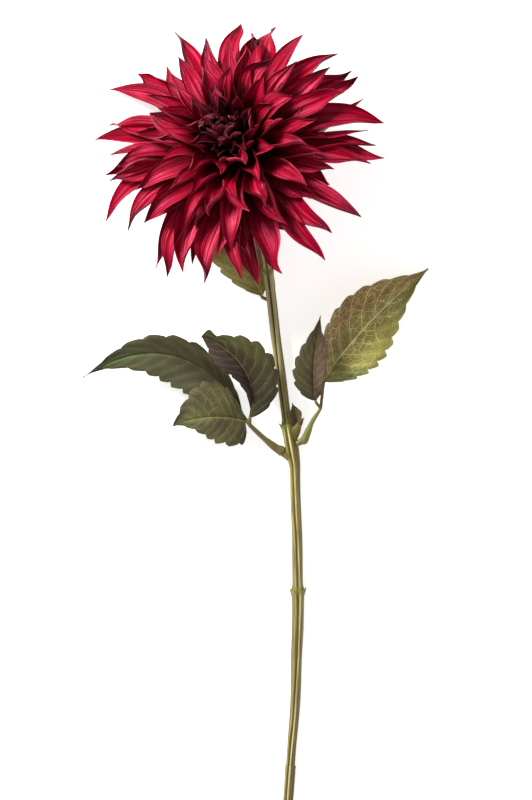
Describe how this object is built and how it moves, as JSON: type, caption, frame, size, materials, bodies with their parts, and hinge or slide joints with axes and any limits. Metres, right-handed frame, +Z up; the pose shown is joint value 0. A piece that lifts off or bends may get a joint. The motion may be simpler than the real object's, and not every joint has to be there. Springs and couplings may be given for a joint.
{
  "type": "cut dahlia stem",
  "caption": "Cut dahlia lying down: a full bloom of narrow, pointed crimson petals round a dark heart, on a long, jointed stem with toothed leaves on forked stalks.",
  "frame": {"origin": "on the surface that the flower lies on, under the middle of its bounding box", "axes": "+Z up from the surface, +Y along the stem towards the bloom, +X to the right of the stem as seen from above with the bloom at the top"},
  "size_m": [0.2456, 0.5504, 0.1089],
  "materials": {
    "petals_red": "satin crimson petals, salmon pink along their edges and deep maroon towards their feet",
    "petals_dark": "near-black maroon petals, some brownish and one curled and pinkish",
    "calyx_green": "dull olive green",
    "stem_olive": "golden olive with lengthwise ridges, browner at the joints",
    "leaf_green": "dark olive green and brown with paler veins"
  },
  "bodies": {
    "root": {"bloom": "petals_red", "heart": "petals_dark", "calyx": "calyx_green", "stem": "stem_olive", "left_stalk": "stem_olive", "right_stalk": "stem_olive", "left_leaf_far": "leaf_green", "left_leaf_low": "leaf_green", "left_leaf_high": "leaf_green", "right_leaf_large": "leaf_green", "right_leaf_small": "leaf_green", "back_leaf": "leaf_green", "stub_leaf": "leaf_green"}
  },
  "joints": []
}
